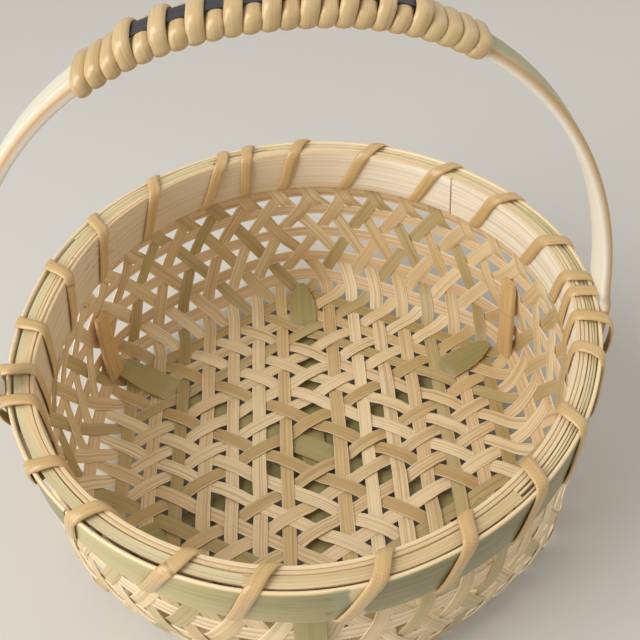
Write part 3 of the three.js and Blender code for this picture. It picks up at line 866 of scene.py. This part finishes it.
def bandPath(radius, bottom, top, thickness, start, sweep, lean=0.0):
    count = max(8, round(abs(sweep) * radius / rim["spacing"]))
    path = []
    for i in range(count + 1):
        angle = start + sweep * i / count
        middle = polar(radius, angle, (bottom + top) / 2)
        path.append(station(middle, polar(1, angle), None, (top - bottom) / 2, thickness / 2))
    path = squareUp(path)
    for i, here in enumerate(path):
        here["across"] = up.copy()
        if lean and i in (0, count):
            here["across"] = up + polar(lean / here["wide"], start + sweep * i / count + math.pi / 2)
    return path


# a slat lies flat where it is wider than deep, and stands on edge otherwise
def slatPath(radius, start, end, top, wide, deep, dice):
    sweep = math.radians(end - start)
    count = max(8, round(sweep * radius / rim["spacing"]))
    sway = wanderer(dice, 80)
    lift = wanderer(dice, 60)
    path = []
    for i in range(count + 1):
        angle = math.radians(start) + sweep * i / count
        run = angle * radius
        rise = top - deep / 2 + rim["slatLift"] * lift(run)
        middle = polar(radius + rim["slatSway"] * sway(run), angle, rise)
        if wide > deep:
            path.append(station(middle, up.copy(), None, wide / 2, deep / 2))
        else:
            path.append(station(middle, polar(1, angle), None, deep / 2, wide / 2))
    return squareUp(path)


dice = random.Random(rim["seed"])
gap = rim["scarfGap"] / rim["innerFace"]
paths = []
radius = rim["innerFace"]
for i, (thickness, bottom, top) in enumerate(rim["innerLayers"]):
    start = rim["innerScarf"] + rim["layerTurn"] * i + gap / 2
    lean = rim["scarfSkew"] if i == 0 else 0
    paths.append(bandPath(radius + thickness / 2, bottom, top, thickness, start, 2 * math.pi - gap, lean))
    radius += thickness + rim["layerGap"]
piece = bandPiece("inner_band", paths, "band", finishes["innerBand"], [0.5, 0.3])
standFor(piece, "rim_inner_band")
thickness = rim["outerThickness"]
middle = rim["outerFace"] - thickness / 2
start = rim["outerScarf"] + gap / 2
sweep = 2 * math.pi - gap
paths = [bandPath(middle, rim["bottom"], rim["top"], thickness, start, sweep, rim["outerSkew"])]
piece = bandPiece("outer_band", paths, "roundedBand", finishes["outerBand"], [0.0])
standFor(piece, "rim_outer_band")
for word in ("inner", "outer"):
    for finish in ("filler", "greenFiller", "orangeSlat"):
        rows = [row for row in slats if row[0] == word and row[7] == finish]
        if not rows:
            continue
        paths = [slatPath(*row[1:7], dice) for row in rows]
        tones = [dice.random() for _ in rows]
        piece = bandPiece(f"{word}_{finish}_slats", paths, "slat", finishes[finish], tones)
        standFor(piece, f"rim_{word}_filler")
print("rim closed")

# rim lashing: cane from hole to hole, up outside, over the rim and down inside
lashing = {
    "crests": [0.5, 1.8, 3.8, 5.8, 8.1, 10.3, 11.8, 12.5, 14.7, 16.8, 18.7, 20.7, 22.1]
    + [23.0, 25.0, 26.6, 28.9, 30.5, 32.8, 34.6, 36.5, 38.2, 40.2, 41.2, 42.0],
    "insideShare": 0.48,
    "throughShare": 0.06,
    "tails": [22.5, 41.5],
    "width": 5.6,
    "inHole": 3.8,
    "thickness": 2.2,
    "holeRise": 74.5,
    "holeOuter": 121.2,
    "holeInner": 113.2,
    "easing": 16,
    "outer": 123.2,
    "inner": 111.15,
    "top": 98.5,
    "tailBump": 3.4,
    "tailReach": 0.75,
}


# one loop round the rim: share of the way, radius, height, facing out and up, width
def lashLoop(bump):
    hole = lashing["holeRise"]
    top = lashing["top"]
    outer = lashing["outer"]
    inner = lashing["inner"]
    full = lashing["width"]
    narrow = lashing["inHole"]
    middle = (hole + top) / 2
    return [
        (0.0, weave["wallRadius"], hole, 0, -1, narrow),
        (0.06, lashing["holeOuter"], hole - 0.2, 0.45, -1, 0.5 * (full + narrow)),
        (0.12, outer + 0.1 * bump, hole + 3.2, 1, -0.2, full),
        (0.25, outer + bump, middle, 1, 0, full),
        (0.36, outer + bump, top - 3.0, 1, 0.25, full),
        (0.41, outer + 0.9 * bump - 0.6, top - 0.6, 0.8, 0.6, full),
        (0.455, outer + 0.7 * bump - 2.6, top + 0.35, 0.25, 1, full),
        (0.5, (outer + inner + bump) / 2, top + 0.55, 0, 1, full),
        (0.545, inner + 2.6, top + 0.35, -0.25, 1, full),
        (0.59, inner + 0.6, top - 0.6, -0.8, 0.6, full),
        (0.64, inner, top - 3.0, -1, 0.25, full),
        (0.75, inner, middle, -1, 0, full),
        (0.88, inner, hole + 3.2, -1, -0.2, full),
        (0.94, lashing["holeInner"], hole - 0.2, -0.45, -1, 0.5 * (full + narrow)),
    ]


def lashPath():
    stations = []
    half = lashing["thickness"] / 2
    crests = lashing["crests"]
    crests = [crests[-1] - ringSteps] + crests + [crests[0] + ringSteps]
    for before, crest, after in zip(crests, crests[1:], crests[2:]):
        bump = max((1 - abs(tail - crest) / lashing["tailReach"]) for tail in lashing["tails"])
        bump = lashing["tailBump"] * clamped(3 * bump)
        begin = before + (lashing["insideShare"] + lashing["throughShare"]) * (crest - before)
        end = crest + lashing["insideShare"] * (after - crest)
        for share, radius, z, out, rise, width in lashLoop(bump):
            if share <= 0.5:
                step = begin + (crest - begin) * share / 0.5
            else:
                step = crest + (end - crest) * (share - 0.5) / 0.5
            angle = step * stepAngle
            facing = polar(out, angle, rise).normalized()
            stations.append(station(polar(radius, angle, z), facing, None, width / 2, half))
    ends = [stations[0]] + stations + [stations[-1]]
    for before, here, after in zip(ends, stations, ends[2:]):
        here["along"] = after["point"] - before["point"]
    path = smoothPath(stations, 6)
    for _ in range(lashing["easing"]):
        places = [here["point"] for here in path]
        for before, here, after, row in zip(places, places[1:], places[2:], path[1:]):
            row["point"] = (before + 2 * here + after) / 4
    return squareUp(path)


piece = bandPiece("lashing", [lashPath()], "cane", finishes["cane"], [0.5], sharp=60)
standFor(piece, "rim_lashing")
print("rim lashed")

# stiffeners crossing under the base, with pointed leaves that come up through the weave
stiffener = {
    "width": 12.0,
    "thickness": 1.1,
    "clear": 2.25,
    "stack": 1.5,
    "layers": [2, 1, 0],
    "ground": 5.25,
    "closeUnder": {(2, 1): 2.6},  # for one end of one stiffener, as are the next two
    "longer": {(2, 1): 6.5},
    "blunter": {(2, 1): 1.6},
    "longerRun": (95, 19),
    "longerRise": 0.6,
    "blunterRun": (104, 8),
    "swing": [0, 0.8, 0],
    "cross": 11.4,
    "settle": 28.8,
    "lift": 70.8,
    "outsideOrder": 1,
    "outsideStep": 31.31,
}
# the leaf: distance from the middle, height, half width, slope of the way along
leafRun = [
    (79.5, -2.3, 5.6, 0.25),
    (83.0, -1.1, 6.6, 0.6),
    (86.5, 1.0, 7.3, 0.45),
    (89.5, 1.8, 7.5, 0.1),
    (94.0, 1.9, 7.5, 0),
    (99.0, 1.9, 7.2, 0),
    (104.0, 1.9, 6.0, 0.05),
    (109.0, 2.15, 4.3, 0.1),
    (113.2, 2.55, 2.5, 0.12),
    (114.2, 2.7, 1.9, 0.12),
]
# the end that goes up outside the wall: weave level, distance from the wall's middle layer
outsideRun = [
    (7.2, 4.1),
    (7.6, 5.1),
    (7.8, 4.5),
    (8, 3.8),
    (8.3, 3.8),
    (8.6, 3.1),
    (9, 2.5),
    (9.5, 2.7),
    (10, 2.5),
    (10.5, 2.4),
    (11, 2.6),
    (11.5, 2.9),
    (12, 2.5),
    (12.19, 2.5),
]


def stiffenerPath(order):
    angle = sideAngle / 2 + order * sideAngle + math.radians(stiffener["swing"][order])
    ray = polar(1, angle)
    wide = stiffener["width"] / 2
    half = stiffener["thickness"] / 2
    stations = []

    def middle(hand):
        ground = -stiffener["closeUnder"].get((order, hand), stiffener["ground"])
        depth = -stiffener["clear"] - stiffener["layers"][order] * stiffener["stack"]
        return [
            (stiffener["cross"], depth, wide, 0),
            (stiffener["settle"], ground, wide, 0),
            (stiffener["lift"], ground, wide, 0),
        ]

    def add(hand, rows):
        end = (order, hand)
        longFrom, longRun = stiffener["longerRun"]
        bluntFrom, bluntRun = stiffener["blunterRun"]
        for along, z, width, slope in rows:
            longer = stiffener["longer"].get(end, 0) * max(along - longFrom, 0) / longRun
            along += longer
            z += stiffener["longerRise"] * longer
            width += stiffener["blunter"].get(end, 0) * clamped((along - bluntFrom) / bluntRun)
            facing = (up - ray * (hand * slope)).normalized()
            way = (ray + up * (hand * slope)).normalized()
            stations.append(station(ray * (hand * along) + up * z, facing, way, width, half))

    if order == stiffener["outsideOrder"]:
        for level, clear in outsideRun[::-1]:
            outward, _, normal = wallSlopes(level, stiffener["outsideStep"])
            place = wallPoint(level, stiffener["outsideStep"]) - normal * clear
            stations.append(station(place, normal, -outward, wide, half))
        add(-1, middle(-1)[::-1])
    else:
        add(-1, (middle(-1) + leafRun)[::-1])
    add(1, middle(1) + leafRun)
    for before, here, after in zip(stations, stations[1:], stations[2:]):
        here["along"] = after["point"] - before["point"]
    path = smoothPath(stations, 5)
    for here in path:
        here["point"].z = max(here["point"].z, -stiffener["ground"])
    return squareUp(path)


for order, word in enumerate(("first", "second", "third")):
    tones = [0.2 + 0.3 * order]
    piece = bandPiece(f"stiffener_{word}", [stiffenerPath(order)], "leaf", finishes["leaf"], tones)
    standFor(piece, f"base_stiffener_{word}")

# posts that stand inside the wall: step, radius and height of foot and top
post = {
    "width": {"right": 9.6, "left": 10.2},
    "thickness": 3.0,
    "bow": 0.8,
    "footWider": 1.04,
    "taper": 0.12,
    "steps": 24,
    "places": {
        "right": ((2.86, 115.5, 4.4), (3.26, 117.0, 51.0)),
        "left": ((17.84, 116.3, 4.4), (17.66, 116.6, 48.0)),
    },
}
for word, (foot, head) in post["places"].items():
    path = []
    for i in range(post["steps"] + 1):
        share = i / post["steps"]
        step, radius, rise = (a + (b - a) * share for a, b in zip(foot, head))
        angle = step * stepAngle
        middle = polar(radius + post["bow"] * math.sin(math.pi * share), angle, rise)
        wide = post["width"][word] / 2 * (post["footWider"] - post["taper"] * share)
        path.append(station(middle, polar(-1, angle), None, wide, post["thickness"] / 2))
    piece = bandPiece(f"post_{word}", [squareUp(path)], "stick", finishes["post"], [0.5], sharp=50)
    standFor(piece, f"side_post_{word}")
print("stiffeners and posts placed")

# handle: strap bent into an arch, narrow tails outside the rim
handle = {
    "width": 12.7,
    "thickness": 4.0,
    "tailWidth": 6.6,
    "tailThickness": 3.0,
    "tailDrop": 6,  # below the rim
    "tailEnd": 0.6,  # width at its end, as a share
    "tailFull": 11,
    "tailStand": 2,  # above the rim
    "shoulder": 16,
    "limbRun": 90,
    "steps": 48,
    "footRadius": 124.28,
    "top": 243.5,
    "spring": 85.7,
    "power": 2.2,
    "archShift": -1.0,
    "archNarrow": 0.9,
    "limbWider": 0.14,
    "rightStep": -0.5,
    "leftStep": 22.5,
}
rightFoot = polar(handle["footRadius"], handle["rightStep"] * stepAngle)
leftFoot = polar(handle["footRadius"], handle["leftStep"] * stepAngle)
handleMiddle = (rightFoot + leftFoot) / 2
handleAxis = (rightFoot - leftFoot).normalized()
handleAcross = up.cross(handleAxis)
halfSpan = (rightFoot - leftFoot).length / 2


def archPoint(turn):
    reach = math.copysign(abs(math.cos(turn)) ** (2 / handle["power"]), math.cos(turn))
    rise = abs(math.sin(turn)) ** (2 / handle["power"])
    point = handleMiddle + handleAxis * ((halfSpan - handle["archNarrow"]) * reach + handle["archShift"])
    point.z = handle["spring"] + (handle["top"] - handle["spring"]) * rise
    return point


def archFrame(turn):
    tangent = (archPoint(turn + 0.01) - archPoint(turn - 0.01)).normalized()
    return archPoint(turn), tangent, -tangent.cross(handleAcross)


def strapPath():
    stations = []
    tails = [
        (rim["bottom"] - handle["tailDrop"], handle["tailEnd"] * handle["tailWidth"]),
        (rim["bottom"] + handle["tailFull"], handle["tailWidth"]),
        (rim["top"] + handle["tailStand"], handle["tailWidth"]),
    ]

    def tail(step, way):
        angle = step * stepAngle
        for rise, width in tails[::way]:
            middle = polar(handle["footRadius"], angle, rise)
            half = handle["tailThickness"] / 2
            stations.append(station(middle, polar(1, angle), up * way, width / 2, half))

    archRise = handle["top"] - handle["spring"]
    shoulderRise = (rim["top"] + handle["shoulder"] - handle["spring"]) / archRise
    shoulder = math.asin(shoulderRise ** (handle["power"] / 2))
    tail(handle["rightStep"], 1)
    for i in range(handle["steps"] + 1):
        turn = shoulder + (math.pi - 2 * shoulder) * i / handle["steps"]
        point, tangent, outward = archFrame(turn)
        low = max(0, 1 - (point.z - rim["top"]) / handle["limbRun"])
        wide = handle["width"] * (1 + handle["limbWider"] * low) / 2
        stations.append(station(point, outward, tangent, wide, handle["thickness"] / 2))
    tail(handle["leftStep"], -1)
    return squareUp(smoothPath(stations, 5))


piece = bandPiece("strap", [strapPath()], "strap", finishes["strap"], [0.5], sharp=50)
standFor(piece, "handle_strap")

# way along the arch, to place the grip by its distance from the top
archSteps = 400
archFrom = 0.15  # shares of the half turn
archShare = 0.7
archTable = []
total = 0.0
for i in range(archSteps + 1):
    turn = math.pi * (archFrom + archShare * i / archSteps)
    if archTable:
        total += (archPoint(turn) - archPoint(archTable[-1][0])).length
    archTable.append((turn, total))
topRun = archTable[archSteps // 2][1]


def frameAlong(distance):
    target = topRun + distance
    for (turn, run), (nextTurn, nextRun) in zip(archTable, archTable[1:]):
        if nextRun > target:
            return archFrame(turn + (nextTurn - turn) * (target - run) / (nextRun - run))
    return archFrame(archTable[-1][0])


# grip: cane wound round the strap, under and over a dark strip
grip = {
    "loops": 24,
    "pitch": 5.27,
    "shift": -4.42,
    "width": 5.3,
    "thickness": 2.9,
    "plainLoops": 3,
    "edge": 7.2,
    "face": 2.85,
    "overDark": 5.0,
    "pointsPerLoop": 36,
    "squareness": 2.9,
    "darkMiddle": -1.75,
    "darkReach": 43.2,
    "darkFace": 4.1,
    "darkWidth": 6.4,
    "darkThickness": 0.9,
    "darkSteps": 60,
    "girth": (0.96, 1.03),
    "seed": 3,
}
path = []
gripHalf = grip["loops"] * grip["pitch"] / 2
dice = random.Random(grip["seed"])
power = 2 / grip["squareness"]
for loop in range(grip["loops"]):
    plain = loop < grip["plainLoops"] or loop >= grip["loops"] - grip["plainLoops"]
    isOver = loop % 2 == 0 and not plain
    girth = dice.uniform(*grip["girth"])
    for i in range(grip["pointsPerLoop"]):
        share = i / grip["pointsPerLoop"]
        turn = 2 * math.pi * share
        distance = (loop + share) * grip["pitch"] - gripHalf + grip["shift"]
        point, _, outward = frameAlong(distance)
        cosine = math.cos(turn - math.pi / 2)
        sine = math.sin(turn - math.pi / 2)
        across = math.copysign(abs(cosine) ** power, cosine) * grip["edge"]
        lift = grip["overDark"] if isOver and sine > 0 else grip["face"]
        out = math.copysign(abs(sine) ** power, sine) * lift
        facing = (handleAcross * (cosine / grip["edge"]) + outward * (sine / lift)).normalized()
        middle = point + handleAcross * across + outward * out
        wide = girth * grip["width"] / 2
        path.append(station(middle, facing, None, wide, grip["thickness"] / 2))
piece = bandPiece("grip_cane", [squareUp(path)], "gripCane", finishes["gripCane"], [0.5], sharp=60)
standFor(piece, "grip_winding")
path = []
for i in range(grip["darkSteps"] + 1):
    distance = grip["darkMiddle"] - grip["darkReach"] + 2 * grip["darkReach"] * i / grip["darkSteps"]
    point, _, outward = frameAlong(distance)
    middle = point + outward * grip["darkFace"]
    path.append(station(middle, outward, None, grip["darkWidth"] / 2, grip["darkThickness"] / 2))
piece = bandPiece("dark_strip", [squareUp(path)], "strip", finishes["dark"], [0.5])
standFor(piece, "grip_dark_strip")
print("handle and grip bound")

# floor, light and camera
stage = {"floor": (0.62, 0.60, 0.56), "roughness": 0.7, "size": 8.0, "drop": 0.0002, "world": 0.49}
bpy.ops.mesh.primitive_plane_add(size=stage["size"], location=(0, 0, -stage["drop"]))
floor = bpy.context.object
floor.name = "floor"
floorFinish = bpy.data.materials.new("paleFloor")
floorFinish.use_nodes = True
floorShader = floorFinish.node_tree.nodes["Principled BSDF"]
floorShader.inputs["Base Color"].default_value = (*stage["floor"], 1)
floorShader.inputs["Roughness"].default_value = stage["roughness"]
floor.data.materials.append(floorFinish)

world = bpy.data.worlds.new("studio")
scene.world = world
world.use_nodes = True
sky = world.node_tree.nodes["Background"]
sky.inputs["Color"].default_value = (1.0, 0.99, 0.97, 1)
sky.inputs["Strength"].default_value = stage["world"]

# place, size, power, spread in degrees, colour
lamps = {
    "window": ((-0.82, -0.3, 1.2), 0.8, 11.0, 180, (1.0, 0.995, 0.98)),
    "low": ((-1.1, -0.6, 0.48), 0.8, 1.35, 70, (1.0, 0.995, 0.98)),
    "fill": ((0.95, 0.35, 0.9), 1.2, 3.2, 180, (1.0, 0.93, 0.82)),
}
aim = Vector((0, 0, 0.05))
for name, (place, size, watts, spread, colour) in lamps.items():
    data = bpy.data.lights.new(name, "AREA")
    data.size = size
    data.energy = watts
    data.color = colour
    data.spread = math.radians(spread)
    light = bpy.data.objects.new(name, data)
    light.location = place
    light.rotation_euler = (aim - Vector(place)).to_track_quat("-Z", "Y").to_euler()
    scene.collection.objects.link(light)

view = {"place": (8.19, -247.48, 367.69), "yaw": -0.13, "pitch": 47.27, "roll": -4.5, "lens": 48.49}
yaw, pitch, roll = (math.radians(view[key]) for key in ("yaw", "pitch", "roll"))
forward = Vector((math.sin(yaw) * math.cos(pitch), math.cos(yaw) * math.cos(pitch), -math.sin(pitch)))
sideways = Vector((math.cos(yaw), -math.sin(yaw), 0))
above = sideways.cross(forward)
right = sideways * math.cos(roll) + above * math.sin(roll)
top = above * math.cos(roll) - sideways * math.sin(roll)
cameraData = bpy.data.cameras.new("photoView")
cameraData.lens = view["lens"]
cameraData.sensor_width = 36
cameraData.clip_start = 0.01
camera = bpy.data.objects.new("photoView", cameraData)
scene.collection.objects.link(camera)
turned = Matrix((right, top, -forward)).transposed().to_4x4()
camera.matrix_world = Matrix.Translation(Vector(view["place"]) * mm) @ turned
scene.camera = camera
print("stage lit")
